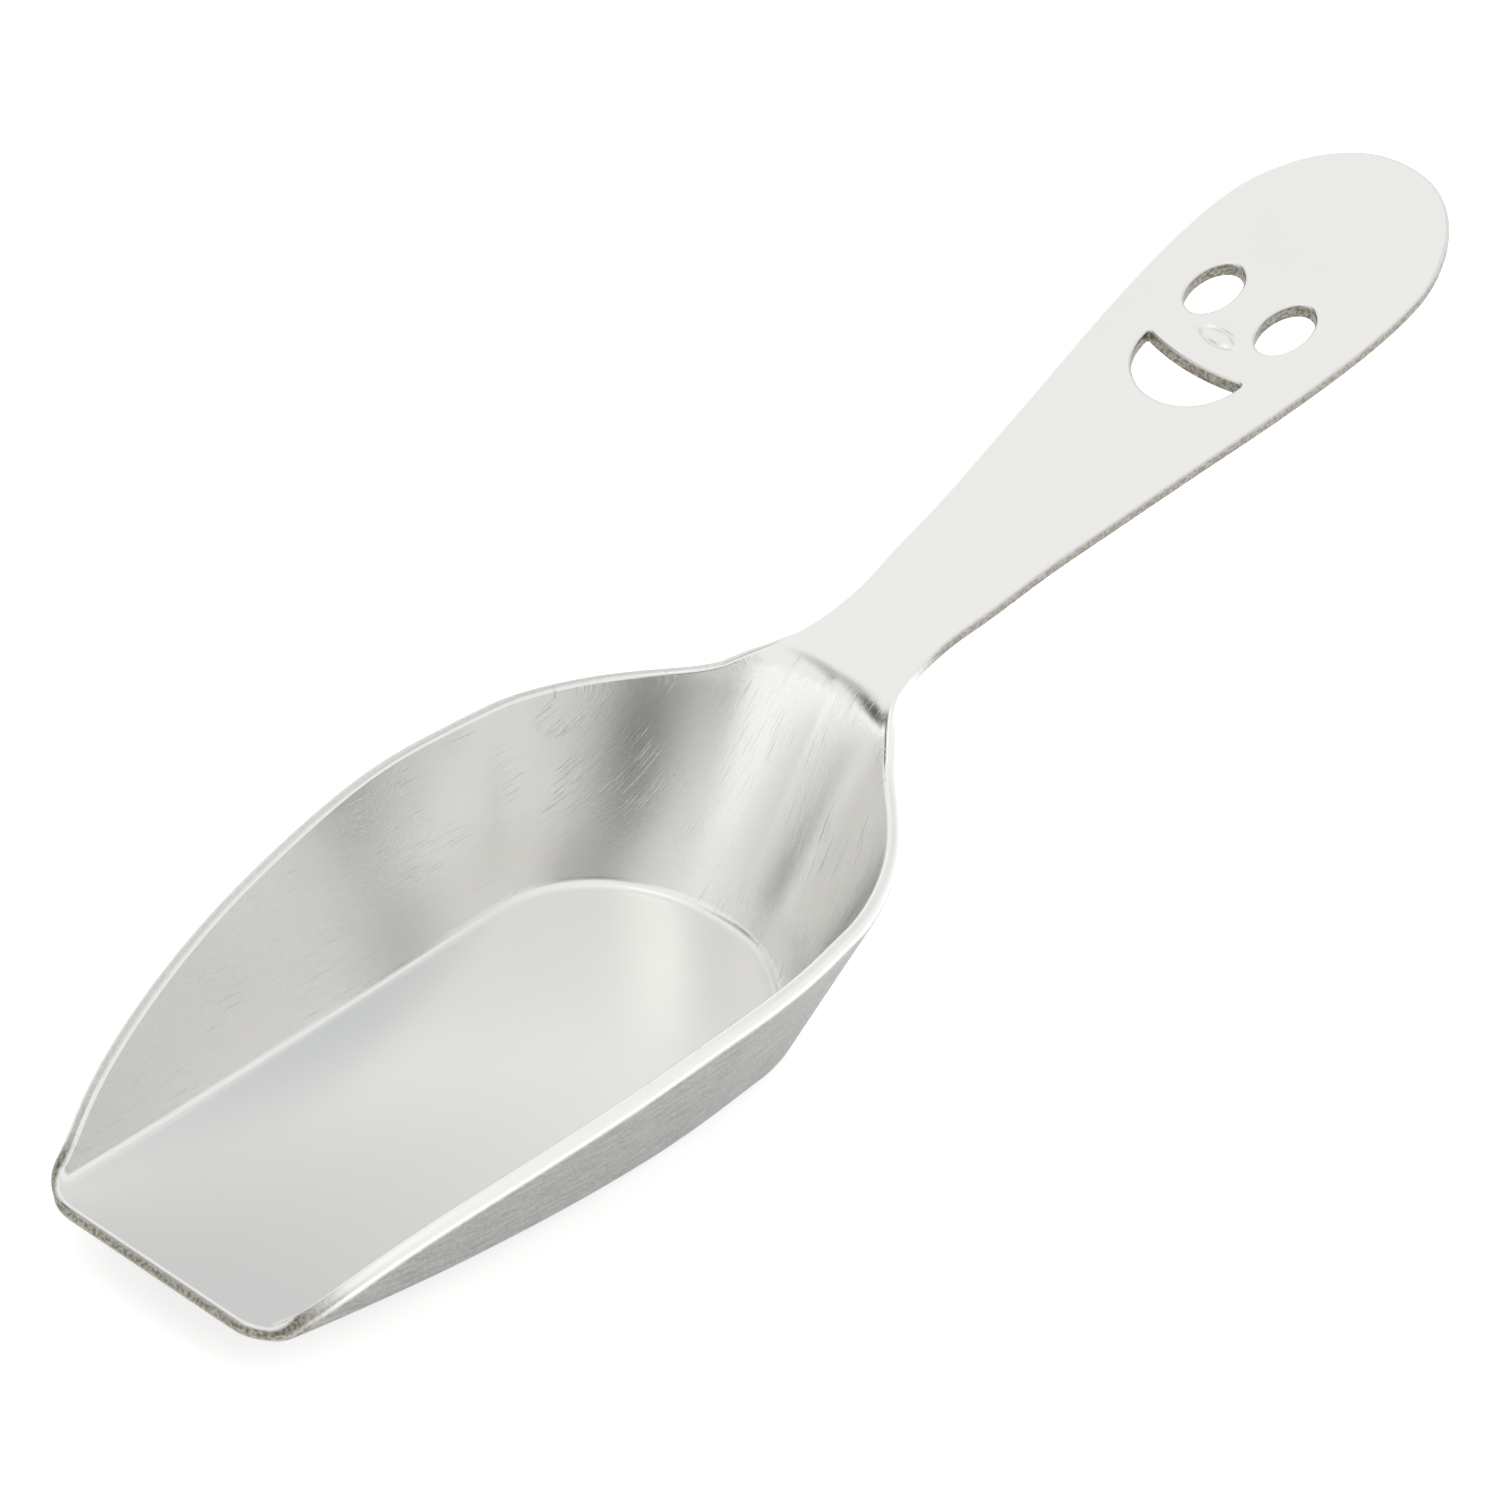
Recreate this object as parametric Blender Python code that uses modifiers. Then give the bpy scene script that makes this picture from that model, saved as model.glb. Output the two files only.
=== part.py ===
"""A small ice scoop pressed from one blank of aluminium sheet, with a smiling face cut in its handle.

The bowl's floor is flat at the back and rises a little towards the open front edge. Its walls flare
outwards and run round the back.
The flat handle leaves the rear wall at a shallow slope. The top face of the sheet is a height above
the plan, so the blank is meshed in plan, lifted to that height, and thickened downwards. +X runs
from the scooping edge to the end of the handle, and the scoop is symmetric about Y = 0.
"""

import math

import bmesh
import bpy
import numpy as np
from mathutils import Matrix, Vector
from mathutils.geometry import delaunay_2d_cdt

MM = 0.001

# Sheet
SHEET = 1.5 * MM

# Bowl, with plan X measured from the centre of the floor's round rear end
FLOOR_LENGTH = 64.9 * MM
FLOOR_RADIUS = 14.5 * MM
FLOOR_NARROWING = 3.0 * MM
FLOOR_RISE = 5.1 * MM
FLOOR_FILLET = 2.0 * MM
CORNER_RADIUS = 3.4 * MM

# Handle, whose top face passes through HANDLE_ROOT_X at the height HANDLE_ROOT_Z
HANDLE_SLOPE = math.radians(12.8)
HANDLE_ROOT_X = 30.0 * MM
HANDLE_ROOT_Z = 26.8 * MM
HANDLE_LENGTH = 77.0 * MM
HANDLE_WIDEST = 59.0 * MM
HANDLE_HALF_WIDTH = 10.75 * MM
END_FULLNESS = 2.2
BEND_SOFTNESS = 1.6 * MM
BEND_REACH = 17.0 * MM

# Face, measured along the handle from its root
EYE_ALONG = 52.4 * MM
EYE_ACROSS = 4.0 * MM
EYE_HALF_LENGTH = 3.7 * MM
EYE_HALF_WIDTH = 2.15 * MM
MOUTH_CHIN = 37.7 * MM
MOUTH_LIP = 43.5 * MM
MOUTH_CORNER = 44.4 * MM
MOUTH_HALF_WIDTH = 5.35 * MM
NOSE_ALONG = 47.7 * MM
NOSE_HALF_LENGTH = 0.85 * MM
NOSE_HALF_WIDTH = 1.55 * MM
NOSE_GROOVE = 0.35 * MM
CUTTER_HEIGHT = 8.0 * MM

# Mesh
OUTLINE_STEP = 1.5 * MM
WALL_STEP = 2.4 * MM
FLAT_STEP = 5.0 * MM
EDGE_CLEARANCE = 0.35 * MM

BEND_X = 22.3 * MM
TIP_X = HANDLE_ROOT_X + HANDLE_LENGTH * math.cos(HANDLE_SLOPE)
FRAME_SHIFT = (FLOOR_LENGTH - TIP_X) / 2

# Rim: distance round the floor's bend line from the middle of the back (mm), height of the rim over
# the floor there (mm), and how far the wall leans outwards (degrees)
RIM = (
    (5.2, 21.8, 17.5),
    (8.5, 20.1, 15.6),
    (13.0, 19.25, 13.6),
    (20.0, 18.9, 13.3),
    (28.0, 18.7, 16.6),
    (38.0, 18.1, 18.9),
    (52.0, 15.5, 20.5),
    (66.0, 11.6, 20.9),
    (75.5, 7.7, 21.1),
    (79.8, 4.6, 22.0),
    (82.5, 2.6, 23.0),
)

# Plan of the neck's edge (mm), from the rim's end to the handle's straight flank
NECK_POINTS = ((21.8, 6.7), (23.7, 5.8), (26.1, 5.2), (28.5, 4.85), (31.0, 4.7), (33.9, 4.85))

# Half width of the handle at distances along it from its root (mm)
HANDLE_POINTS = ((10.0, 5.45), (20.0, 6.5), (30.0, 7.8), (40.0, 9.1), (50.0, 10.25))


def clear_scene():
    for thing in list(bpy.data.objects):
        bpy.data.objects.remove(thing, do_unlink=True)


def new_collection(name):
    collection = bpy.data.collections.new(name)
    bpy.context.scene.collection.children.link(collection)
    return collection


def sheet_material():
    material = bpy.data.materials.new("satin_aluminium")
    material.use_nodes = True
    surface = material.node_tree.nodes["Principled BSDF"]
    surface.inputs["Base Color"].default_value = (0.80, 0.80, 0.78, 1.0)
    surface.inputs["Metallic"].default_value = 1.0
    surface.inputs["Roughness"].default_value = 0.35
    return material


def natural_spline(places, values):
    """Function that reads a natural cubic spline through the values at increasing places."""
    places, values = np.array(places), np.array(values)
    gaps = np.diff(places)
    count = len(places)
    system = np.eye(count)
    turns = np.zeros(values.shape)
    for i in range(1, count - 1):
        before, after = gaps[i - 1], gaps[i]
        system[i, i - 1 : i + 2] = before, 2 * (before + after), after
        rise = (values[i + 1] - values[i]) / after - (values[i] - values[i - 1]) / before
        turns[i] = 6 * rise
    turns = np.linalg.solve(system, turns)

    def read(place):
        i = int(np.clip(np.searchsorted(places, place) - 1, 0, count - 2))
        share = (place - places[i]) / gaps[i]
        back = 1 - share
        straight = back * values[i] + share * values[i + 1]
        bow = (back**3 - back) * turns[i] + (share**3 - share) * turns[i + 1]
        return straight + bow * gaps[i] ** 2 / 6

    return read


rim_height_at = natural_spline([row[0] * MM for row in RIM], [row[1] * MM for row in RIM])
lean_at = natural_spline([row[0] * MM for row in RIM], [math.radians(row[2]) for row in RIM])


def floor_half_width(x):
    """Half width of the floor: the rear radius, narrowing towards the scooping edge."""
    ahead = max(0.0, -x) / FLOOR_LENGTH
    return FLOOR_RADIUS - FLOOR_NARROWING * ahead**2


def floor_height(x):
    """Height of the floor's top face: flat at the back, rising towards the scooping edge."""
    ahead = max(0.0, -x) / FLOOR_LENGTH
    return SHEET + FLOOR_RISE * ahead**2


def outside_floor(x, y):
    """Plan distance from the bend line round the floor, negative on the floor."""
    if x > 0:
        return math.hypot(x, y) - FLOOR_RADIUS
    return abs(y) - floor_half_width(x)


def round_distance(x, y):
    """Distance along the bend line, from the middle of the back to the point nearest (x, y)."""
    if x > 0:
        return FLOOR_RADIUS * math.atan2(abs(y), x)
    return FLOOR_RADIUS * math.pi / 2 - x


def bend_point(distance, outside):
    """Plan point at a distance round the bend line and a distance outside it."""
    quarter = FLOOR_RADIUS * math.pi / 2
    if distance < quarter:
        turn = distance / FLOOR_RADIUS
        radius = FLOOR_RADIUS + outside
        return radius * math.cos(turn), radius * math.sin(turn)
    x = quarter - distance
    return x, floor_half_width(x) + outside


def wall_lean(x, y):
    """How far the wall leans outwards, held constant past the ends of the rim's table."""
    ends = RIM[0][0] * MM, RIM[-1][0] * MM
    return float(lean_at(min(max(round_distance(x, y), ends[0]), ends[1])))


def wall_height(x, y):
    """Height of the wall's top face over the floor: none, then a fillet, then the leaning wall."""
    rise = math.pi / 2 - wall_lean(x, y)
    distance = outside_floor(x, y)
    into_fillet = distance + FLOOR_FILLET * math.tan(rise / 2)
    if into_fillet <= 0:
        return 0.0
    if into_fillet < FLOOR_FILLET * math.sin(rise):
        return FLOOR_FILLET - math.sqrt(FLOOR_FILLET**2 - into_fillet**2)
    return distance * math.tan(rise)


def handle_height(x):
    """Height of the handle's top face, lifted away from the bowl ahead of the neck."""
    ahead = max(0.0, BEND_REACH - x)
    lift = 40.0 * ahead * ahead
    return HANDLE_ROOT_Z + (x - HANDLE_ROOT_X) * math.tan(HANDLE_SLOPE) + lift


def top_height(x, y):
    """The bowl turned into the handle through a soft bend."""
    bowl = floor_height(x) + wall_height(x, y)
    handle = handle_height(x)
    return (bowl + handle - math.hypot(bowl - handle, BEND_SOFTNESS)) / 2


def on_handle(along, across=0.0):
    """Point of the handle's top face, by distance along it from its root and sideways."""
    x = HANDLE_ROOT_X + along * math.cos(HANDLE_SLOPE)
    z = HANDLE_ROOT_Z + along * math.sin(HANDLE_SLOPE)
    return Vector((x, across, z))


def smooth_curve(points, step):
    """Points about a step apart on a natural cubic spline through the given plan points."""
    lengths = np.hypot(*np.diff(np.array(points), axis=0).T)
    places = np.concatenate([[0.0], np.cumsum(lengths)])
    read = natural_spline(places, points)
    return [tuple(read(place)) for place in np.linspace(0, places[-1], round(places[-1] / step))]


def front_corner():
    """Rounded corner between the scooping edge and the start of the rim."""
    edge = floor_half_width(-FLOOR_LENGTH) + 0.8 * MM
    centre = (CORNER_RADIUS - FLOOR_LENGTH, edge - CORNER_RADIUS)
    turns = [math.radians(angle) for angle in range(180, 99, -10)]
    return [
        (centre[0] + CORNER_RADIUS * math.cos(turn), centre[1] + CORNER_RADIUS * math.sin(turn))
        for turn in turns
    ]


def rim_points():
    """Plan points of the rim, from behind the front corner to the neck."""
    start, end = RIM[-1][0] * MM, RIM[0][0] * MM
    points = []
    for distance in np.linspace(start, end, round((start - end) / OUTLINE_STEP) + 1):
        outside = rim_height_at(distance) * math.tan(lean_at(distance))
        points.append(bend_point(distance, outside))
    return points


def handle_end():
    """Rounded end of the handle, a little fuller than an ellipse, from its widest place."""
    reach = (HANDLE_LENGTH - HANDLE_WIDEST) * math.cos(HANDLE_SLOPE)
    start = on_handle(HANDLE_WIDEST).x
    power = 2 / END_FULLNESS
    points = []
    for turn in np.radians(np.arange(90, -1, -6)):
        along = abs(math.cos(turn)) ** power
        across = abs(math.sin(turn)) ** power
        points.append((start + reach * along, HANDLE_HALF_WIDTH * across))
    return points


def half_outline():
    """Plan outline of the blank's left half, from the middle of the front edge to the tip."""
    corner = front_corner()
    neck = [(x * MM, y * MM) for x, y in NECK_POINTS]
    sides = [(on_handle(along * MM).x, width * MM) for along, width in HANDLE_POINTS]
    end = handle_end()
    rim = rim_points()
    flank = smooth_curve([rim[-1]] + neck + sides + [end[0]], OUTLINE_STEP)
    front = [(-FLOOR_LENGTH, y) for y in np.linspace(0, corner[0][1], 5)[:-1]]
    return front + corner + rim[:-1] + flank + end[1:-1] + [(TIP_X, 0.0)]


def middle_line():
    """Points along Y = 0, from the tip back to the front edge, closer together at the bends."""
    handle = np.arange(TIP_X, HANDLE_ROOT_X + 4 * MM, -FLAT_STEP)[1:]
    bend = np.linspace(BEND_X + 5 * MM, BEND_X - 3 * MM, 12)
    wall = np.linspace(BEND_X - 4 * MM, FLOOR_RADIUS + 1 * MM, 4)
    fillet = np.linspace(FLOOR_RADIUS + 0.4 * MM, FLOOR_RADIUS - 1.4 * MM, 6)
    floor = np.arange(FLOOR_RADIUS - 4 * MM, -FLOOR_LENGTH, -FLAT_STEP)
    return [(x, 0.0) for row in (handle, bend, wall, fillet, floor) for x in row]


def row_round_floor(outside, step, turns):
    """A row of plan points at one distance outside the floor's bend line: a step apart along the
    side, then a number of turns round the rear quarter."""
    quarter = FLOOR_RADIUS * math.pi / 2
    along = list(np.linspace(0, quarter, turns + 1)[1:])
    along += list(np.arange(quarter + step, quarter + FLOOR_LENGTH, step))
    return [bend_point(distance, outside) for distance in along]


def inner_points():
    """Mesh points inside the outline: rows round the floor, rows across the bend, and flats."""
    found = []
    for outside in np.linspace(-1.4 * MM, 0.4 * MM, 6):
        found += row_round_floor(outside, WALL_STEP, 18)
    for outside in np.arange(1.2 * MM, 8.0 * MM, 1.0 * MM):
        found += row_round_floor(outside, WALL_STEP, 18)
    for outside in (-4.0 * MM, -9.0 * MM):
        found += row_round_floor(outside, FLAT_STEP, 6)
    for x in np.linspace(BEND_X - 1 * MM, BEND_X + 6 * MM, 10):
        for turn in np.radians(np.arange(4, 21, 4)):
            found.append((x * math.cos(turn), x * math.sin(turn)))
    for x in np.arange(HANDLE_ROOT_X + 2 * MM, TIP_X, FLAT_STEP):
        for y in np.arange(FLAT_STEP / 2, HANDLE_HALF_WIDTH, FLAT_STEP / 2):
            found.append((x, y))
    return found


def is_inside(point, outline):
    """Whether a plan point is within the closed outline and clear of its edge."""
    inside = False
    for start, end in zip(outline, outline[1:] + outline[:1]):
        along = Vector(end) - Vector(start)
        share = (Vector(point) - Vector(start)).dot(along) / along.length_squared
        nearest = Vector(start) + along * min(1.0, max(0.0, share))
        if (Vector(point) - nearest).length < EDGE_CLEARANCE:
            return False
        if (start[1] > point[1]) != (end[1] > point[1]):
            cross = start[0] + (point[1] - start[1]) / (end[1] - start[1]) * along.x
            inside ^= point[0] < cross
    return inside


def half_blank():
    """Triangles of the left half of the top face, lifted from plan to their height."""
    outline = half_outline() + middle_line()
    inner = [point for point in inner_points() if is_inside(point, outline)]
    plan = [Vector(point) for point in outline + inner]
    edges = [(i, (i + 1) % len(outline)) for i in range(len(outline))]
    points, _, faces, *_ = delaunay_2d_cdt(plan, edges, [], 1, 1e-7)
    mesh = bpy.data.meshes.new("scoop")
    lifted = [(x + FRAME_SHIFT, y, top_height(x, y)) for x, y in points]
    mesh.from_pydata(lifted, [], faces)
    return mesh


def scoop(collection, material):
    body = bpy.data.objects.new("scoop", half_blank())
    collection.objects.link(body)
    body.data.materials.append(material)
    mirror = body.modifiers.new("Both halves", "MIRROR")
    mirror.use_axis = (False, True, False)
    mirror.merge_threshold = 0.00001
    thicken = body.modifiers.new("Sheet thickness", "SOLIDIFY")
    thicken.thickness = SHEET
    thicken.offset = -1
    thicken.use_even_offset = True
    return body


def handle_place(along, across=0.0):
    """Matrix at a place on the handle's top face, with X along the handle and Z out of it."""
    shift = Matrix.Translation(Vector((FRAME_SHIFT, 0, 0)) + on_handle(along, across))
    return shift @ Matrix.Rotation(-HANDLE_SLOPE, 4, "Y")


def cutter_object(name, shape, collection, place):
    mesh = bpy.data.meshes.new(name)
    bmesh.ops.recalc_face_normals(shape, faces=shape.faces)
    shape.to_mesh(mesh)
    shape.free()
    cutter = bpy.data.objects.new(name, mesh)
    cutter.matrix_world = place
    cutter.hide_render = True
    cutter.display_type = "WIRE"
    collection.objects.link(cutter)
    return cutter


def eye_cutter(name, side, collection):
    shape = bmesh.new()
    bmesh.ops.create_cone(
        shape,
        cap_ends=True,
        segments=40,
        radius1=EYE_HALF_LENGTH,
        radius2=EYE_HALF_LENGTH,
        depth=CUTTER_HEIGHT,
    )
    bmesh.ops.scale(shape, vec=(1, EYE_HALF_WIDTH / EYE_HALF_LENGTH, 1), verts=shape.verts)
    return cutter_object(name, shape, collection, handle_place(EYE_ALONG, side * EYE_ACROSS))


def mouth_outline():
    """Crescent: a half ellipse towards the bowl, closed by a shallow curve between its corners."""
    depth = MOUTH_CORNER - MOUTH_CHIN
    bow = MOUTH_CORNER - MOUTH_LIP
    chin = [math.radians(angle) for angle in range(-90, 91, 9)]
    lip = np.linspace(1, -1, 13)[1:-1]
    lower = [(-depth * math.cos(turn), MOUTH_HALF_WIDTH * math.sin(turn)) for turn in chin]
    upper = [(-bow * (1 - share * share), MOUTH_HALF_WIDTH * share) for share in lip]
    return lower + upper


def mouth_cutter(collection):
    shape = bmesh.new()
    outline = [shape.verts.new((x, y, -CUTTER_HEIGHT / 2)) for x, y in mouth_outline()]
    face = shape.faces.new(outline)
    raised = bmesh.ops.extrude_face_region(shape, geom=[face])["geom"]
    tops = [item for item in raised if isinstance(item, bmesh.types.BMVert)]
    bmesh.ops.translate(shape, verts=tops, vec=(0, 0, CUTTER_HEIGHT))
    return cutter_object("mouth_cutter", shape, collection, handle_place(MOUTH_CORNER))


def nose_cutter(collection):
    """Oval ring of round wire, sunk to half its thickness in the top face."""
    shape = bmesh.new()
    rings = []
    for turn in np.linspace(0, 2 * math.pi, 24, endpoint=False):
        out = Vector((math.cos(turn) * NOSE_HALF_LENGTH, math.sin(turn) * NOSE_HALF_WIDTH, 0))
        outward = Vector((math.cos(turn), math.sin(turn), 0))
        ring = []
        for angle in np.linspace(0, 2 * math.pi, 8, endpoint=False):
            offset = outward * math.cos(angle) + Vector((0, 0, math.sin(angle)))
            ring.append(shape.verts.new(out + offset * NOSE_GROOVE))
        rings.append(ring)
    for here, there in zip(rings, rings[1:] + rings[:1]):
        for i in range(8):
            j = (i + 1) % 8
            shape.faces.new((here[i], there[i], there[j], here[j]))
    return cutter_object("nose_cutter", shape, collection, handle_place(NOSE_ALONG))


def cut(body, cutter):
    boolean = body.modifiers.new(cutter.name, "BOOLEAN")
    boolean.operation = "DIFFERENCE"
    boolean.solver = "EXACT"
    boolean.object = cutter


def main():
    clear_scene()
    parts = new_collection("ice_scoop")
    cutters = new_collection("cutters")
    body = scoop(parts, sheet_material())
    cut(body, eye_cutter("left_eye_cutter", 1, cutters))
    cut(body, eye_cutter("right_eye_cutter", -1, cutters))
    cut(body, mouth_cutter(cutters))
    cut(body, nose_cutter(cutters))


main()
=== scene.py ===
"""Looks of a small ice scoop pressed from one blank of aluminium sheet.

The top face of the sheet is a smooth function of the flat blank: a point of the blank goes round
the floor, up the wall, and over the bend into the handle. The blank is meshed flat, put through
that function, and given a thickness and rounded cut edges. Lengths are in millimetres until a mesh
is made, with X and Y from the centre of the floor's round rear end.
"""

import math

import bpy
import numpy as np
from mathutils import Matrix, Vector
from mathutils.geometry import delaunay_2d_cdt


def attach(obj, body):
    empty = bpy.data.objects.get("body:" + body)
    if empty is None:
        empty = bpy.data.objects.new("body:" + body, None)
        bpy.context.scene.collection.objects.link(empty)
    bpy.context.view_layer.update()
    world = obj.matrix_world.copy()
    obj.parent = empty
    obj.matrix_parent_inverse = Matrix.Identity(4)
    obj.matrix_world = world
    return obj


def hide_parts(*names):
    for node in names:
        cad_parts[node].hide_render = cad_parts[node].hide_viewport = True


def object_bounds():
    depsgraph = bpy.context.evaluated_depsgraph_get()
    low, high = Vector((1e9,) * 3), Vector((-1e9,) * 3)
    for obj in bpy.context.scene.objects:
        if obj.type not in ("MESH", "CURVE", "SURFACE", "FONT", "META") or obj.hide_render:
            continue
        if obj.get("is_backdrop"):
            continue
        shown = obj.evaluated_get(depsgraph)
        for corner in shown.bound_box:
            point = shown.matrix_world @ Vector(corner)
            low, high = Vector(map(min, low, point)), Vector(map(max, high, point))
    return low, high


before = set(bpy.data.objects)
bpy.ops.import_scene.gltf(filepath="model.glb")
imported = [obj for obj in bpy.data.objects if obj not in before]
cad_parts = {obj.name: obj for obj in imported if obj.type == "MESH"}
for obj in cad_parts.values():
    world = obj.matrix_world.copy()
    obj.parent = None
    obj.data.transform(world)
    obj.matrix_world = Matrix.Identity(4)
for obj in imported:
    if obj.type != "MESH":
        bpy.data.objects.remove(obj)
cad_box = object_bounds()

MM = 0.001
SHEET = 1.5

# Bowl
FLOOR_LENGTH = 64.9
FLOOR_RADIUS = 14.5
QUARTER = FLOOR_RADIUS * math.pi / 2
FLOOR_RISE = 5.13
FLOOR_FILLET = 1.1

# Handle
SLOPE = math.radians(12.8)
ROOT_X, ROOT_Z = 30.0, 26.8
HANDLE_LENGTH = 77.0
BEND_RADIUS = 3.1
TIP_X = ROOT_X + HANDLE_LENGTH * math.cos(SLOPE)
FRAME_SHIFT = (FLOOR_LENGTH - TIP_X) / 2

# Past BEND_REACH round from the middle of the back, the bend into the handle climbs out of the
# way, and straight ahead of the floor's round end it is far above the rim
BEND_REACH = math.radians(24)
BEND_CLIMB, SIDE_CLIMB = 30.0, 60.0

# Rim: distance round the bend line from the middle of the back, height over the floor, and the
# wall's lean outwards in degrees
RIM = np.array(
    (
        (0.0, 24.0, 19.4),
        (4.6, 22.3, 18.9),
        (6.4, 21.0, 17.2),
        (8.9, 20.0, 15.4),
        (12.6, 19.35, 13.8),
        (17.7, 19.0, 12.9),
        (22.8, 18.85, 14.4),
        (27.8, 18.6, 16.6),
        (34.8, 18.3, 18.5),
        (42.8, 17.4, 19.4),
        (50.8, 15.8, 20.3),
        (58.8, 13.9, 20.8),
        (66.8, 11.4, 21.0),
        (74.8, 8.0, 21.2),
        (79.8, 4.9, 22.2),
        (82.8, 2.5, 23.2),
    )
)
RIM_END = 6.2
CORNER_RADIUS, CORNER_OUT, CORNER_TURN = 3.4, 0.75, 108

# Outline of the neck in plan, then of the handle as distances along and across it
NECK = ((22.5, 6.35), (24.4, 5.5), (26.4, 5.05), (28.5, 4.8), (31.0, 4.7), (33.9, 4.85))
FLANK = (
    (7.0, 5.2),
    (14.0, 5.8),
    (20.0, 6.5),
    (24.6, 7.1),
    (29.6, 7.75),
    (36.3, 8.65),
    (42.6, 9.5),
    (49.0, 10.2),
    (55.5, 10.68),
    (59.5, 10.75),
    (63.0, 10.6),
    (66.0, 10.15),
    (69.0, 9.2),
    (71.5, 8.05),
    (73.6, 6.6),
    (75.2, 5.0),
    (76.3, 3.3),
    (76.85, 1.6),
    (77.0, 0.0),
)

# Face: places and half sizes along and across the handle
EYE = (52.4, 4.0, 3.7, 2.13)
MOUTH_CHIN, MOUTH_LIP, MOUTH_CORNER, MOUTH_HALF_WIDTH = 37.7, 43.5, 44.3, 5.3
NOSE = (47.7, -0.1, 0.95, 1.65)
NOSE_DEPTH, NOSE_RING, NOSE_CROWN, NOSE_MIDDLE = 0.16, 0.24, 0.03, 0.75

# The right wall's foot, pressed in: how far, where, over what length, and up to what height, then
# how far round it starts from nothing, and how far it fades into the floor
DENT_DEPTH, DENT_PLACE, DENT_LENGTH, DENT_HEIGHT = 0.95, 19.0, 13.0, 19.0
DENT_START, DENT_FADE = 9.0, 9.0

# Cut edges: from the blank's meshed part out to the edge, and the two radii of its section
EDGE_OUT, EDGE_TOP = 0.95, 0.4
EDGE_UNDER, BOWL_EDGE_MORE = 0.45, 0.45
HOLE_OUT, HOLE_TOP, HOLE_UNDER = 0.4, 0.34, 0.12

# How torn the outer edge is, and how far forward and back the rim's smoother edge ends
HANDLE_TEAR, LEFT_RIM_TEAR = 0.9, 0.4
TEAR_FRONT, TEAR_HANDLE = 57.0, 26.0

# Mesh
STEP, OUTLINE_STEP, HOLE_STEP, FINE_STEP = 0.9, 0.45, 0.3, 0.13
FILLET_STEP, FILLET_BAND = 0.55, (-2.2, 1.9)
EDGE_CLEARANCE = 0.28
NOSE_PATCH, NOSE_CLEARANCE = (2.2, 2.7), 2.8

# Camera: focal length in pixels of a 1500-pixel frame, place in metres, and two axes
PIXELS, FOCAL = 1500, 10237.5
SENSOR = 36
CAMERA_PLACE = (-0.603, -0.35179, 0.54364)
CAMERA_RIGHT = (0.60145, -0.77736, 0.1843)
CAMERA_AHEAD = (0.69882, 0.40011, -0.59293)

# Studio, in metres
FLOOR_HALF, FLOOR_DROP = 3.0, -0.0002
FLOOR_GLOW = 0.6
SKY = (0.95, 0.945, 0.93)
# Soft boxes and dark flags round the table: azimuth, elevation, inner and outer radius, colour
PATCHES = (
    (127, 19, 8, 17, (0.03, 0.03, 0.03)),
    (131, 33, 7, 16, (0.02, 0.02, 0.02)),
    (139, 50, 6, 16, (0.50, 0.50, 0.51)),
    (228, 13, 8, 19, (0.12, 0.12, 0.12)),
    (27, 21, 4, 14, (0.52, 0.53, 0.54)),
    (3, 44, 5, 16, (0.62, 0.66, 0.68)),
    (52, 10, 6, 16, (1.20, 1.20, 1.18)),
    (210, 76, 6, 14, (1.30, 1.30, 1.25)),
)


def spline(places, values):
    """Function that reads a natural cubic spline through the values at increasing places."""
    places, values = np.array(places, float), np.array(values, float)
    gaps = np.diff(places)
    count = len(places)
    system = np.eye(count)
    turns = np.zeros(values.shape)
    for i in range(1, count - 1):
        before, after = gaps[i - 1], gaps[i]
        system[i, i - 1 : i + 2] = before, 2 * (before + after), after
        turns[i] = 6 * ((values[i + 1] - values[i]) / after - (values[i] - values[i - 1]) / before)
    turns = np.linalg.solve(system, turns)

    def read(place):
        place = np.asarray(place, float)
        i = np.clip(np.searchsorted(places, place) - 1, 0, count - 2)
        share = (place - places[i]) / gaps[i]
        back = 1 - share
        gap = gaps[i]
        if values.ndim > 1:
            share, back, gap = share[..., None], back[..., None], gap[..., None]
        straight = back * values[i] + share * values[i + 1]
        bow = (back**3 - back) * turns[i] + (share**3 - share) * turns[i + 1]
        return straight + bow * gap**2 / 6

    return read


read_height = spline(RIM[:, 0], RIM[:, 1])
read_lean = spline(RIM[:, 0], np.radians(RIM[:, 2]))


def lean(distance):
    return read_lean(np.clip(distance, RIM[0, 0], RIM[-1, 0]))


def floor_half_width(x):
    ahead = np.clip(-x / FLOOR_LENGTH, 0, 2)
    return FLOOR_RADIUS - 0.55 * ahead - 2.46 * ahead**2


def floor_top(x):
    ahead = np.clip(-x / FLOOR_LENGTH, 0, 2)
    return SHEET + FLOOR_RISE * ahead**2


def profile(distance):
    """Constants of the wall's section at a distance round the bend line."""
    turn = np.minimum(distance / FLOOR_RADIUS, math.pi / 2)
    rise = math.pi / 2 - lean(distance)
    fall = np.arctan(np.cos(turn) * math.tan(SLOPE))
    climb = BEND_CLIMB * np.clip(turn - BEND_REACH, 0, None) ** 2
    lift = climb + SIDE_CLIMB * (distance > QUARTER)
    over = ROOT_Z - SHEET + (FLOOR_RADIUS * np.cos(turn) - ROOT_X) * math.tan(SLOPE) + lift
    corner = over / (np.tan(rise) - np.tan(fall))
    tangent = FLOOR_FILLET * np.tan(rise / 2)
    bend = BEND_RADIUS * np.tan((rise - fall) / 2)
    return rise, fall, corner, tangent, bend


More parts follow.
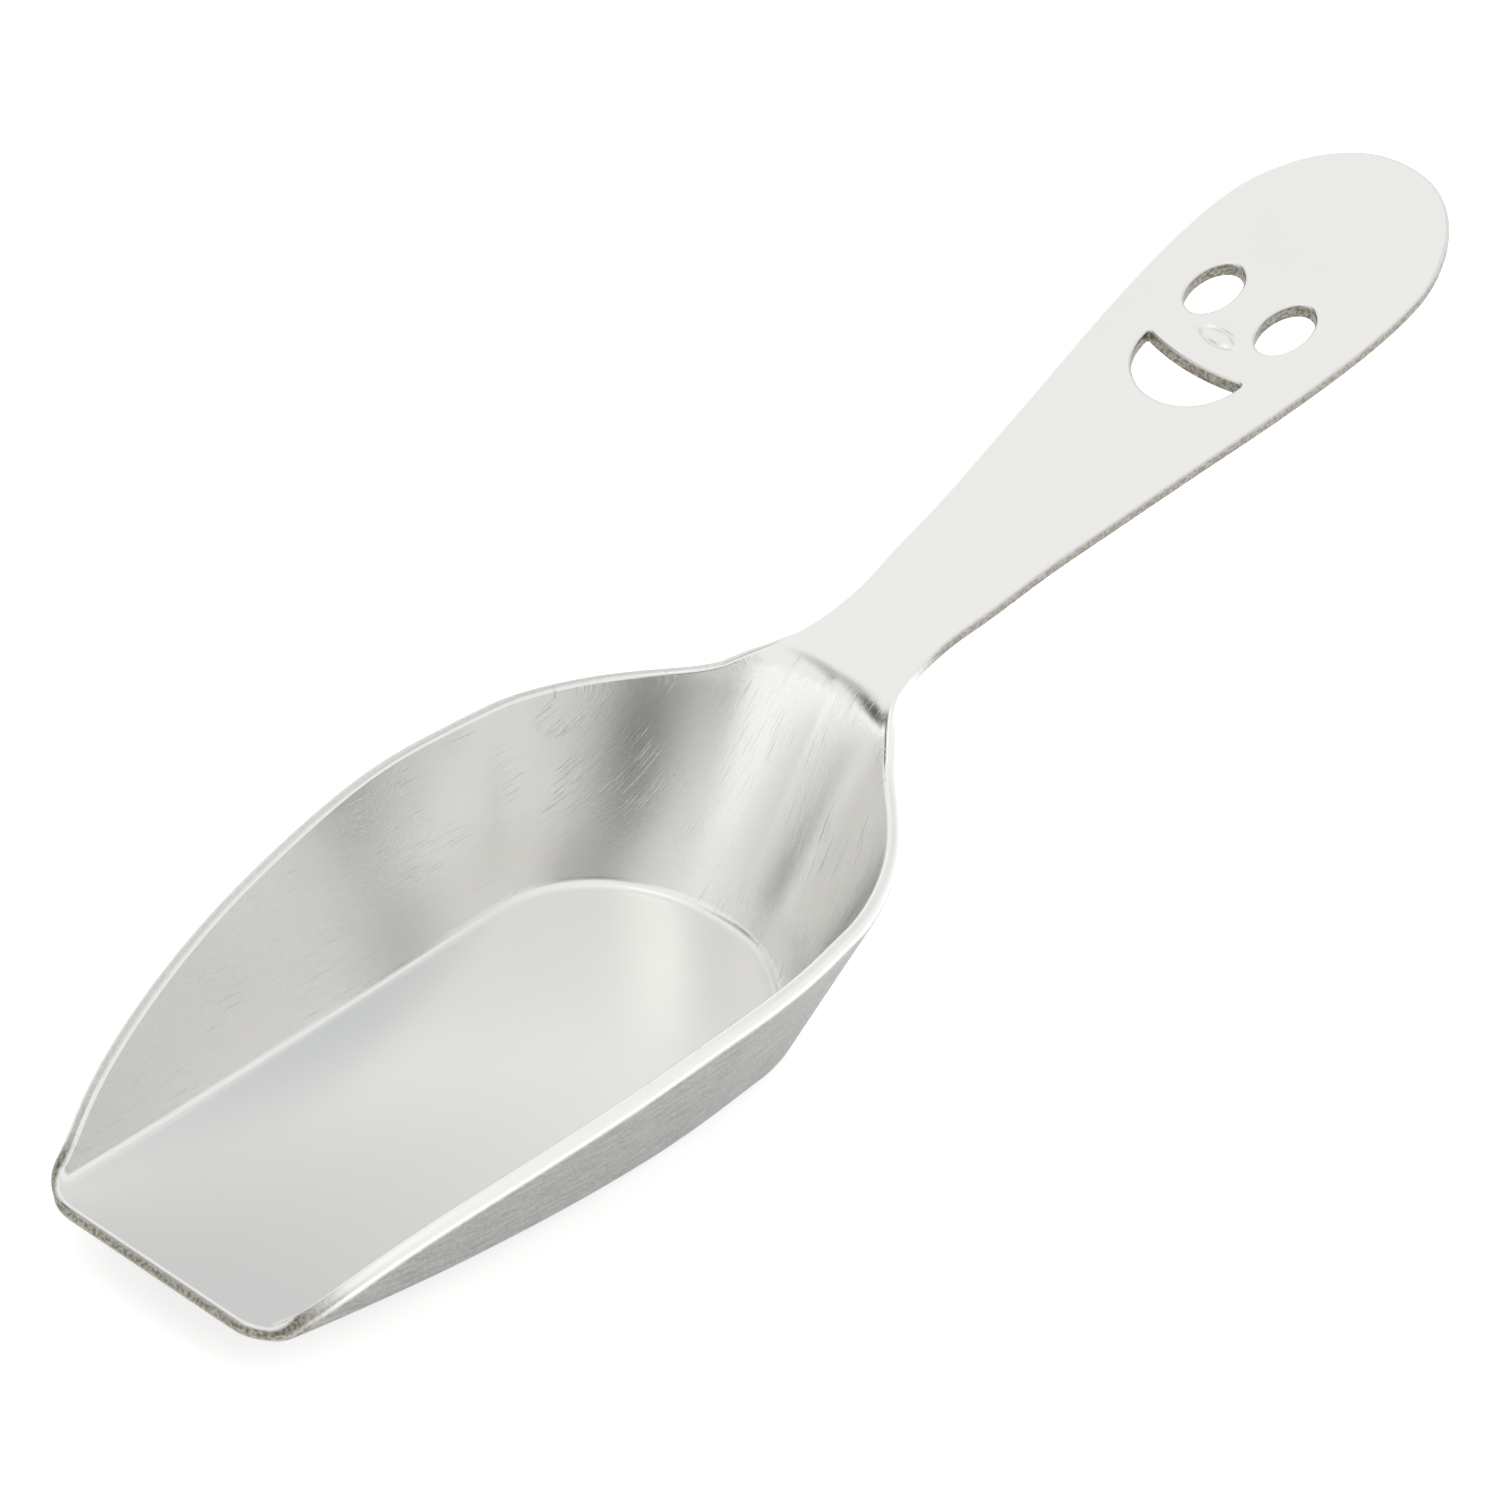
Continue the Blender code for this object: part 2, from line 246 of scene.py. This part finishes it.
def section(distance, run):
    """Plan distance outside the bend line, and height over the floor, at a run along the sheet."""
    rise, fall, corner, tangent, bend = profile(distance)
    fillet_end = FLOOR_FILLET * rise
    along = run + tangent
    into = np.clip(along, 0, fillet_end) / FLOOR_FILLET
    wall = np.clip(along - fillet_end, 0, None)
    bend_start = corner / np.cos(rise) - bend - tangent
    past = np.clip(wall - bend_start, 0, None)
    wall = np.minimum(wall, bend_start)
    turned = np.minimum(past / BEND_RADIUS, rise - fall)
    rest = np.clip(past - BEND_RADIUS * (rise - fall), 0, None)
    out = np.minimum(run, -tangent) + FLOOR_FILLET * np.sin(into) + wall * np.cos(rise)
    out += BEND_RADIUS * (np.sin(rise) - np.sin(rise - turned)) + rest * np.cos(fall)
    up = FLOOR_FILLET * (1 - np.cos(into)) + wall * np.sin(rise)
    up += BEND_RADIUS * (np.cos(rise - turned) - np.cos(rise)) + rest * np.sin(fall)
    return out, up


def run_of(distance, out):
    """Run along the sheet at a plan distance outside the bend line: section() backwards."""
    low, high = np.minimum(out, 0) - 4, np.maximum(out, 0) * 1.2 + 60
    for _ in range(60):
        middle = (low + high) / 2
        beyond = section(distance, middle)[0] > out
        high = np.where(beyond, middle, high)
        low = np.where(beyond, low, middle)
    return (low + high) / 2


def polar(points):
    """Distance round the bend line and distance outside it, for points of the blank or plan."""
    x, y = points[:, 0], np.abs(points[:, 1])
    back = x > 0
    distance = np.where(back, FLOOR_RADIUS * np.arctan2(y, np.where(back, x, 1)), QUARTER - x)
    outside = np.where(back, np.hypot(x, y) - FLOOR_RADIUS, y - floor_half_width(x))
    return distance, outside


def unpolar(distance, outside):
    """The points at these distances round the bend line and outside it: polar() backwards."""
    turn = np.minimum(distance, QUARTER) / FLOOR_RADIUS
    x = np.where(distance < QUARTER, (FLOOR_RADIUS + outside) * np.cos(turn), QUARTER - distance)
    y = np.where(
        distance < QUARTER, (FLOOR_RADIUS + outside) * np.sin(turn), floor_half_width(x) + outside
    )
    return x, y


def to_blank(plan):
    """Where points of the finished scoop's plan lie on the flat blank."""
    plan = np.array(plan, float)
    distance, outside = polar(plan)
    x, y = unpolar(distance, run_of(distance, outside))
    return np.stack([x, np.where(plan[:, 1] < 0, -y, y)], 1)


def nose_relief(points):
    """Height of the oval groove pressed round the nose, and of the crown inside it."""
    along, across, half_length, half_width = NOSE
    u = (points[:, 0] - ROOT_X) / math.cos(SLOPE) - along
    v = points[:, 1] - across
    radius = np.hypot(u / half_length, v / half_width)
    ring = np.exp(-(((radius - 1) / NOSE_RING) ** 2))
    crown = np.exp(-((radius / NOSE_MIDDLE) ** 4))
    return -NOSE_DEPTH * ring + NOSE_CROWN * crown


def pressed_in(distance):
    """How far the right wall's foot is pressed in near the back, at a distance round the bend."""
    ease = np.clip(distance / DENT_START, 0, 1)
    dent = DENT_DEPTH * np.exp(-(((distance - DENT_PLACE) / DENT_LENGTH) ** 2))
    return dent * ease**2 * (3 - 2 * ease)


def top_face(blank):
    """Points of the finished sheet's top face, for points of the flat blank."""
    distance, outside = polar(blank)
    out, up = section(distance, outside)
    fade = np.exp(-((np.minimum(outside, 0) / DENT_FADE) ** 2))
    tuck = pressed_in(distance) * np.clip(1 - up / DENT_HEIGHT, 0, 1) * fade
    x, y = unpolar(distance, out - np.where(blank[:, 1] < 0, tuck, 0))
    z = floor_top(x) + up
    points = np.stack([x, np.where(blank[:, 1] < 0, -y, y), z], 1)
    points[:, 2] += nose_relief(points)
    return points


def normals(blank):
    """Upward normals of the finished sheet's top face, for points of the flat blank."""
    step = 0.01
    east = top_face(blank + (step, 0)) - top_face(blank - (step, 0))
    north = top_face(blank + (0, step)) - top_face(blank - (0, step))
    across = np.cross(east, north)
    return across / np.linalg.norm(across, axis=1)[:, None]


def even(points, step, closed=False):
    """The polyline again, with its points a step apart."""
    points = np.array(points)
    if closed:
        points = np.vstack([points, points[:1]])
    places = np.concatenate([[0], np.cumsum(np.linalg.norm(np.diff(points, axis=0), axis=1))])
    wanted = np.linspace(0, places[-1], max(3, round(places[-1] / step)) + 1)
    again = np.stack([np.interp(wanted, places, column) for column in points.T], 1)
    return again[:-1] if closed else again


def half_outline():
    """Blank outline of the left half, from the middle of the front edge to the tip."""
    reach = np.linspace(RIM[-1, 0], RIM_END, 160)
    rim = np.stack(unpolar(reach, read_height(reach) * np.tan(read_lean(reach))), 1)
    edge = floor_half_width(-FLOOR_LENGTH) + CORNER_OUT
    turns = np.radians(np.linspace(180, CORNER_TURN, 12))
    centre = np.array((CORNER_RADIUS - FLOOR_LENGTH, edge - CORNER_RADIUS))
    corner = centre + CORNER_RADIUS * np.stack([np.cos(turns), np.sin(turns)], 1)
    flank = [(ROOT_X + u * math.cos(SLOPE), v) for u, v in FLANK]
    knots = np.array([tuple(rim[-1])] + list(NECK) + flank)
    places = np.concatenate([[0], np.cumsum(np.linalg.norm(np.diff(knots, axis=0), axis=1))])
    handle = spline(places, knots)(np.linspace(0, places[-1], 420))
    start = spline((0, 1, 2, 3), np.vstack([corner[-2:], rim[:2]]))(np.linspace(1, 2, 12))
    plan = np.vstack([[(-FLOOR_LENGTH, 0.0)], corner[:-1], start[:-1], rim, handle[1:]])
    return to_blank(plan)


def outline(step):
    """Blank outline of the whole scoop, with its points a step apart."""
    left = half_outline()
    right = left[::-1][1:-1] * (1, -1)
    return even(np.vstack([left, right]), step, closed=True)[::-1]


def on_handle(along, across):
    """Plan points at distances along and across the handle."""
    return np.stack([ROOT_X + np.asarray(along) * math.cos(SLOPE), np.asarray(across)], 1)


def eye_outline(side):
    along, across, half_length, half_width = EYE
    turns = np.linspace(0, 2 * math.pi, 72, endpoint=False)
    return on_handle(
        along + half_length * np.cos(turns), side * across + half_width * np.sin(turns)
    )


def mouth_outline():
    """Crescent: a half ellipse towards the bowl, closed by a shallow curve between its corners."""
    depth, bow = MOUTH_CORNER - MOUTH_CHIN, MOUTH_CORNER - MOUTH_LIP
    chin = np.linspace(-math.pi / 2, math.pi / 2, 60)
    share = np.linspace(1, -1, 60)[1:-1]
    lower = on_handle(MOUTH_CORNER - depth * np.cos(chin), MOUTH_HALF_WIDTH * np.sin(chin))
    upper = on_handle(MOUTH_CORNER - bow * (1 - share**2), MOUTH_HALF_WIDTH * share)
    return rounded(even(np.vstack([lower, upper]), 0.1, closed=True), 3)


def rounded(points, passes):
    """A closed polyline with its corners worn round."""
    for _ in range(passes):
        points = (np.roll(points, 1, 0) + 2 * points + np.roll(points, -1, 0)) / 4
    return points


def shifted(points, amount):
    """A closed polyline moved sideways, to its left for a positive amount."""
    along = np.roll(points, -1, 0) - np.roll(points, 1, 0)
    along /= np.linalg.norm(along, axis=1)[:, None]
    return points + amount * np.stack([-along[:, 1], along[:, 0]], 1)


def inside(points, loop):
    """Whether each point is within the closed polyline."""
    found = np.zeros(len(points), bool)
    for (x0, y0), (x1, y1) in zip(loop, np.roll(loop, -1, 0)):
        if y0 == y1:
            continue
        crosses = (y0 > points[:, 1]) != (y1 > points[:, 1])
        found ^= crosses & (points[:, 0] < x0 + (points[:, 1] - y0) * (x1 - x0) / (y1 - y0))
    return found


def near(points, loop, reach):
    """Whether each point is closer than the reach to a point of the polyline."""
    found = np.zeros(len(points), bool)
    for start in range(0, len(points), 2000):
        part = points[start : start + 2000]
        gap = np.linalg.norm(part[:, None] - loop[None], axis=2).min(axis=1)
        found[start : start + 2000] = gap < reach
    return found


def signed_area(loop):
    """Twice the area of a closed polyline, positive when it runs anticlockwise."""
    x, y = loop[:, 0], loop[:, 1]
    return np.sum(x * np.roll(y, -1) - y * np.roll(x, -1))


def hexagons(x0, x1, y0, y1, step):
    """Points of a grid of equal triangles within the box."""
    rows = []
    row_height = 0.866
    for i, y in enumerate(np.arange(y0, y1, step * row_height)):
        x = np.arange(x0 + (i % 2) * step / 2, x1, step)
        rows.append(np.stack([x, np.full(len(x), y)], 1))
    return np.vstack(rows)


def fillet_rows():
    """Rows of blank points along the small radius between the floor and the walls."""
    rows = []
    distance = np.arange(FILLET_STEP / 2, QUARTER + FLOOR_LENGTH, FILLET_STEP)
    rise = math.pi / 2 - lean(distance)
    tangent = FLOOR_FILLET * np.tan(rise / 2)
    for share in np.linspace(-0.15, 1.15, 9):
        x, y = unpolar(distance, -tangent + share * FLOOR_FILLET * rise)
        rows += [np.stack([x, y], 1), np.stack([x, -y], 1)]
    return np.vstack(rows)


def within(points, loops):
    """Whether each point is inside the first loop and outside the others."""
    found = inside(points, loops[0])
    for hole in loops[1:]:
        found &= ~inside(points, hole)
    return found


def inner_points(loops):
    """Points of the blank between its loops: rows along the fillet, and finer round the nose."""
    coarse = hexagons(-FLOOR_LENGTH, 130, -45, 45, STEP)
    outside = polar(coarse)[1]
    coarse = coarse[(outside < FILLET_BAND[0]) | (outside > FILLET_BAND[1])]
    nose = to_blank(on_handle([NOSE[0]], [NOSE[1]]))[0]
    long, wide = NOSE_PATCH
    fine = hexagons(nose[0] - long, nose[0] + long, nose[1] - wide, nose[1] + wide, FINE_STEP)
    around = np.abs(coarse - nose).max(axis=1) < NOSE_CLEARANCE
    points = np.vstack([fillet_rows(), coarse[~around], fine])
    keep = within(points, loops)
    keep[keep] = ~near(points[keep], np.vstack(loops), EDGE_CLEARANCE)
    return points[keep]


def blank_mesh(loops):
    """Triangles of the blank between its outline, the first loop, and its holes."""
    verts = np.vstack(loops + [inner_points(loops)])
    edges, first = [], 0
    for loop in loops:
        count = len(loop)
        edges += [(first + i, first + (i + 1) % count) for i in range(count)]
        first += count
    flat = [Vector(point) for point in verts]
    found, _, faces, *_ = delaunay_2d_cdt(flat, edges, [], 0, 1e-6)
    if len(found) != len(verts):
        raise ValueError("the blank's points moved when they were joined")
    faces = np.array([face[:] for face in faces])
    faces = faces[within(verts[faces].mean(axis=1), loops)]
    a, b, c = (verts[faces[:, i]] for i in range(3))
    turned = (b[:, 0] - a[:, 0]) * (c[:, 1] - a[:, 1]) - (b[:, 1] - a[:, 1]) * (c[:, 0] - a[:, 0])
    faces[turned < 0] = faces[turned < 0][:, ::-1]
    return verts, faces


def edge_section(inset, top_radius, under_radius):
    """Section of a cut edge as rows of (outwards, down, normal outwards, normal up, cut)."""
    rows = []
    for turn in np.radians(np.linspace(0, 90, 6)):
        out = inset - top_radius + top_radius * math.sin(turn)
        down = top_radius * (1 - math.cos(turn))
        rows.append((out, down, math.sin(turn), math.cos(turn), math.sin(turn) ** 4))
    for share in (0.33, 0.66):
        down = top_radius + share * (SHEET - top_radius - under_radius)
        rows.append((inset, down, 1.0, 0.0, 1.0))
    for turn in np.radians(np.linspace(0, 90, 8)):
        out = inset - under_radius + under_radius * math.cos(turn)
        down = SHEET - under_radius + under_radius * math.sin(turn)
        rows.append((out, down, math.cos(turn), -math.sin(turn), math.cos(turn)))
    return rows


def tear(x, y):
    """How rough the outer edge is: torn at the front, less on the handle, least on the rim."""
    front = np.clip((-x - TEAR_FRONT) / 4, 0, 1)
    handle = HANDLE_TEAR * np.clip((x - TEAR_HANDLE) / 5, 0, 1)
    return np.maximum(front + handle, LEFT_RIM_TEAR * (y > 0))


def blank_loops():
    """The outline and the holes as they are meshed, short of their edges, all turned one way."""
    outer = outline(OUTLINE_STEP)
    outer = outer if signed_area(outer) > 0 else outer[::-1]
    loops = [shifted(outer, EDGE_OUT)]
    for hole in (eye_outline(1), eye_outline(-1), mouth_outline()):
        hole = to_blank(even(hole, HOLE_STEP, closed=True))
        hole = hole if signed_area(hole) < 0 else hole[::-1]
        loops.append(shifted(hole, HOLE_OUT))
    return loops


def loop_edge(loop, base, lift, outer):
    """Rows of the cut edge along a loop, each as its points, normals, cut, torn and side."""
    along = np.roll(base, -1, 0) - np.roll(base, 1, 0)
    along /= np.linalg.norm(along, axis=1)[:, None]
    outward = np.cross(along, lift)
    flat = np.ones(len(loop))
    if outer:
        on_bowl = np.clip((27 - base[:, :1]) / 8, 0, 1)
        section_rows = edge_section(EDGE_OUT, EDGE_TOP, EDGE_UNDER + BOWL_EDGE_MORE * on_bowl)
        torn = tear(base[:, 0], base[:, 1])
    else:
        section_rows = edge_section(HOLE_OUT, HOLE_TOP, HOLE_UNDER)
        torn = flat
    for out, down, aside, upward, cut in section_rows:
        points = base + outward * out - lift * down
        side = flat * (1 - 2 * np.ravel(down) / SHEET)
        yield points, outward * aside + lift * upward, flat * cut, torn, side


def set_attributes(mesh, values, blank, lift):
    """Give the mesh what its material reads: the edge's kinds, the wall's tilt, and the sheet."""
    for name, rows in values.items():
        mesh.attributes.new(name, "FLOAT", "POINT").data.foreach_set("value", np.concatenate(rows))
    steep = np.clip(1 - np.abs(lift[:, 2]), 0, 1) ** 0.5
    mesh.attributes.new("wall", "FLOAT", "POINT").data.foreach_set("value", steep)
    place = np.concatenate([blank, np.zeros((len(blank), 1))], 1)
    mesh.attributes.new("sheet", "FLOAT_VECTOR", "POINT").data.foreach_set("vector", place.ravel())


def build_scoop():
    """The sheet's top face and underside, and the cut edges that join them."""
    loops = blank_loops()
    blank, faces = blank_mesh(loops)
    top, up = top_face(blank), normals(blank)
    count = len(blank)
    verts, shade = [top, top - up * SHEET], [up, -up]
    flat = np.ones(count)
    values = {"cut": [0 * flat, 0 * flat], "side": [flat, -flat], "torn": [0 * flat, 0 * flat]}
    sheet, lifts = [blank, blank], [up, up]
    blocks = [faces, faces[:, ::-1] + count]
    total, first = 2 * count, 0
    for loop in loops:
        ring = np.arange(first, first + len(loop))
        previous, first = ring, first + len(loop)
        for points, normal, cut, torn, side in loop_edge(
            loop, top[ring], up[ring], outer=loop is loops[0]
        ):
            verts.append(points)
            shade.append(normal)
            values["cut"].append(cut)
            values["torn"].append(torn)
            values["side"].append(side)
            sheet.append(loop)
            lifts.append(up[ring])
            here = np.arange(total, total + len(ring))
            total += len(ring)
            blocks.append(ring_quads(previous, here))
            previous = here
        blocks.append(ring_quads(previous, ring + count))
    verts = np.vstack(verts)
    verts[:, 0] += FRAME_SHIFT
    mesh = bpy.data.meshes.new("scoop_sheet")
    all_faces = [tuple(face) for block in blocks for face in block.tolist()]
    mesh.from_pydata((verts * MM).tolist(), [], all_faces)
    set_attributes(mesh, values, np.vstack(sheet), np.vstack(lifts))
    mesh.shade_smooth()
    mesh.normals_split_custom_set_from_vertices(np.vstack(shade).tolist())
    scoop = bpy.data.objects.new("scoop_sheet", mesh)
    bpy.context.scene.collection.objects.link(scoop)
    return scoop


def ring_quads(ring, following):
    """Faces between two rings of vertices."""
    return np.stack([ring, following, np.roll(following, -1), np.roll(ring, -1)], 1)


def node(tree, kind, inputs=(), **settings):
    """A new node, with its inputs set to numbers or linked from other nodes' outputs."""
    made = tree.nodes.new(kind)
    for name, value in settings.items():
        setattr(made, name, value)
    for name, value in dict(inputs).items():
        if isinstance(value, bpy.types.NodeSocket):
            tree.links.new(value, made.inputs[name])
        else:
            made.inputs[name].default_value = value
    return made


def attribute(tree, name, output="Fac"):
    return node(tree, "ShaderNodeAttribute", attribute_name=name).outputs[output]


def remap(tree, value, low, high, new_low=0.0, new_high=1.0):
    """The value, turned from the range low to high into a new range, and kept within it."""
    wanted = {"Value": value, 1: low, 2: high, 3: new_low, 4: new_high}
    return node(tree, "ShaderNodeMapRange", wanted, interpolation_type="SMOOTHSTEP").outputs[0]


def noise(tree, place, scale, detail=2.0, stretch=(1, 1, 1), turn=0.0):
    """Noise between 0 and 1 whose grain is 1 / scale long, in the units of the place."""
    wanted = {"Vector": place, "Rotation": (0, 0, turn), "Scale": stretch}
    place = node(tree, "ShaderNodeMapping", wanted, vector_type="POINT").outputs[0]
    wanted = {"Vector": place, "Scale": scale, "Detail": detail}
    return node(tree, "ShaderNodeTexNoise", wanted).outputs[0]


def maths(tree, operation, first, second=0.0, third=0.0):
    wanted = {0: first, 1: second, 2: third}
    return node(tree, "ShaderNodeMath", wanted, operation=operation).outputs[0]


def blend(tree, share, first, second):
    made = node(tree, "ShaderNodeMix", data_type="RGBA")
    for socket, value in ((0, share), (6, first), (7, second)):
        if isinstance(value, bpy.types.NodeSocket):
            tree.links.new(value, made.inputs[socket])
        else:
            made.inputs[socket].default_value = value
    return made.outputs[2]


def sheet_colour(tree, grain, patches, drag, place, under, cut):
    """Bright on top; underneath, a duller finish darkened further by painted shade that stands in
    for the shadowed floor it reflects; sheared or torn where it was cut.
    """
    streaks = noise(tree, place, 1.0, 3.0, (0.22, 1.6, 1), math.radians(12))
    speckle = maths(tree, "MULTIPLY", grain, 0.6)
    tone = maths(tree, "ADD", speckle, maths(tree, "MULTIPLY", streaks, 0.4))
    bright = blend(tree, patches, (0.90, 0.895, 0.88, 1), (0.87, 0.87, 0.86, 1))
    # Underside colour: partly a duller finish, partly painted shade, kept dark to stand in for the
    # shadowed floor that the underside reflects.
    dull_and_painted_shade = remap(tree, tone, 0.36, 0.64)
    dull_and_painted_shade = blend(tree, dull_and_painted_shade, (0.19, 0.19, 0.185, 1), (0.37, 0.37, 0.36, 1))
    ragged = remap(tree, grain, 0.35, 0.65)
    ragged = blend(tree, ragged, (0.14, 0.13, 0.10, 1), (0.34, 0.32, 0.28, 1))
    sheared = blend(tree, attribute(tree, "torn"), (0.93, 0.93, 0.92, 1), ragged)
    bright = blend(tree, maths(tree, "MULTIPLY", drag, 0.6), bright, (0.66, 0.66, 0.66, 1))
    return blend(tree, cut, blend(tree, under, bright, dull_and_painted_shade), sheared)


def sheet_roughness(tree, patches, wall, drag, under, cut):
    rough = remap(tree, patches, 0.3, 0.7, 0.278, 0.30)
    rough = maths(tree, "MULTIPLY_ADD", wall, -0.06, rough)
    rough = maths(tree, "MULTIPLY_ADD", drag, 0.10, rough)
    rough = maths(tree, "MAXIMUM", rough, maths(tree, "MULTIPLY", under, 0.36))
    return maths(tree, "MAXIMUM", rough, maths(tree, "MULTIPLY", cut, 0.40))


def sheet_bump(tree, grain, fine, wall, drag, under, cut):
    """Rolled grain all over, fine lines and drag marks on the walls, and coarse grain elsewhere."""
    height = maths(tree, "MULTIPLY", grain, maths(tree, "MULTIPLY_ADD", wall, 0.7, 0.25))
    lines = maths(tree, "MULTIPLY", maths(tree, "MULTIPLY", fine, wall), 0.8)
    height = maths(tree, "ADD", height, lines)
    height = maths(tree, "ADD", height, maths(tree, "MULTIPLY", drag, -0.9))
    torn = maths(tree, "MULTIPLY", cut, attribute(tree, "torn"))
    coarse = maths(tree, "MULTIPLY", grain, maths(tree, "MAXIMUM", under, torn))
    height = maths(tree, "ADD", height, maths(tree, "MULTIPLY", coarse, 1.4))
    wanted = {"Height": height, "Strength": 0.5, "Distance": 0.00002}
    return node(tree, "ShaderNodeBump", wanted).outputs[0]


def aluminium():
    """Satin sheet: rolled grain, drag marks on the walls, a duller underside darkened with painted
    shade, and cut edges.
    """
    material = bpy.data.materials.new("satin_aluminium")
    material.use_nodes = True
    tree = material.node_tree
    surface = tree.nodes["Principled BSDF"]
    surface.inputs["Metallic"].default_value = 1.0
    place = attribute(tree, "sheet", "Vector")
    metres = node(tree, "ShaderNodeTexCoord").outputs["Object"]
    wanted = {0: metres, "Scale": 1 / MM}
    solid = node(tree, "ShaderNodeVectorMath", wanted, operation="SCALE").outputs[0]
    cut = attribute(tree, "cut")
    # Underside mask: rougher and coarser grain, and in the colour also painted shade.
    under = remap(tree, attribute(tree, "side"), -0.6, -0.98)
    wall = remap(tree, attribute(tree, "wall"), 0.3, 0.6)

    patches = noise(tree, solid, 0.07)
    grain = noise(tree, solid, 3.2, 3.0)
    fine = noise(tree, place, 1.0, 2.0, (0.35, 9.0, 1), math.radians(-24))
    marks = noise(tree, place, 1.0, 2.0, (0.16, 4.2, 1), math.radians(-17))
    where = remap(tree, noise(tree, place, 0.11), 0.42, 0.62)
    drag = maths(tree, "MULTIPLY", remap(tree, marks, 0.56, 0.70), where)
    drag = maths(tree, "MULTIPLY", drag, wall)

    colour = sheet_colour(tree, grain, patches, drag, place, under, cut)
    tree.links.new(colour, surface.inputs["Base Color"])
    rough = sheet_roughness(tree, patches, wall, drag, under, cut)
    tree.links.new(rough, surface.inputs["Roughness"])
    bump = sheet_bump(tree, grain, fine, wall, drag, under, cut)
    tree.links.new(bump, surface.inputs["Normal"])
    return material


def camera():
    data = bpy.data.cameras.new("camera")
    data.sensor_width = SENSOR
    data.lens = FOCAL / PIXELS * SENSOR
    data.clip_start, data.clip_end = 0.05, 20
    eye = bpy.data.objects.new("camera", data)
    right = Vector(CAMERA_RIGHT).normalized()
    ahead = Vector(CAMERA_AHEAD).normalized()
    above = right.cross(ahead).normalized()
    turn = Matrix((right, above, -ahead)).transposed().to_4x4()
    place = Matrix.Translation(Vector(CAMERA_PLACE) + Vector((FRAME_SHIFT * MM, 0, 0)))
    eye.matrix_world = place @ turn
    bpy.context.scene.collection.objects.link(eye)
    bpy.context.scene.camera = eye


def floor():
    mesh = bpy.data.meshes.new("floor")
    corners = [(x * FLOOR_HALF, y * FLOOR_HALF, 0) for x, y in ((-1, -1), (1, -1), (1, 1), (-1, 1))]
    mesh.from_pydata(corners, [], [(0, 1, 2, 3)])
    plane = bpy.data.objects.new("floor", mesh)
    plane.location.z = FLOOR_DROP
    material = bpy.data.materials.new("white_floor")
    material.use_nodes = True
    surface = material.node_tree.nodes["Principled BSDF"]
    surface.inputs["Base Color"].default_value = (0.8, 0.8, 0.8, 1)
    surface.inputs["Roughness"].default_value = 0.9
    surface.inputs["Emission Color"].default_value = (1, 1, 1, 1)
    surface.inputs["Emission Strength"].default_value = FLOOR_GLOW
    mesh.materials.append(material)
    bpy.context.scene.collection.objects.link(plane)
    plane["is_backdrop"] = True


def sky_patch(tree, colour, direction, azimuth, elevation, inner, outer, level):
    """The sky's colour with a soft round patch of one colour mixed in, sizes in degrees."""
    turn, climb = math.radians(azimuth), math.radians(elevation)
    aim = (math.cos(climb) * math.cos(turn), math.cos(climb) * math.sin(turn), math.sin(climb))
    near = node(tree, "ShaderNodeVectorMath", {0: direction, 1: aim}, operation="DOT_PRODUCT")
    edges = math.cos(math.radians(outer)), math.cos(math.radians(inner))
    share = remap(tree, near.outputs["Value"], *edges)
    return blend(tree, share, colour, (*level, 1))


def studio():
    world = bpy.data.worlds.new("studio")
    bpy.context.scene.world = world
    world.use_nodes = True
    tree = world.node_tree
    background = tree.nodes["Background"]
    direction = node(tree, "ShaderNodeTexCoord").outputs["Generated"]
    colour = node(tree, "ShaderNodeRGB").outputs[0]
    colour.default_value = (*SKY, 1)
    for patch in PATCHES:
        colour = sky_patch(tree, colour, direction, *patch)
    tree.links.new(colour, background.inputs["Color"])
    bpy.context.scene.view_settings.view_transform = "Standard"


scoop = build_scoop()
scoop.data.materials.append(aluminium())
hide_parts("scoop")
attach(scoop, "root")
camera()
floor()
studio()

boxes = {"cad": cad_box, "visual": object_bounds()}
{key: [list(corner) for corner in box] for key, box in boxes.items()}
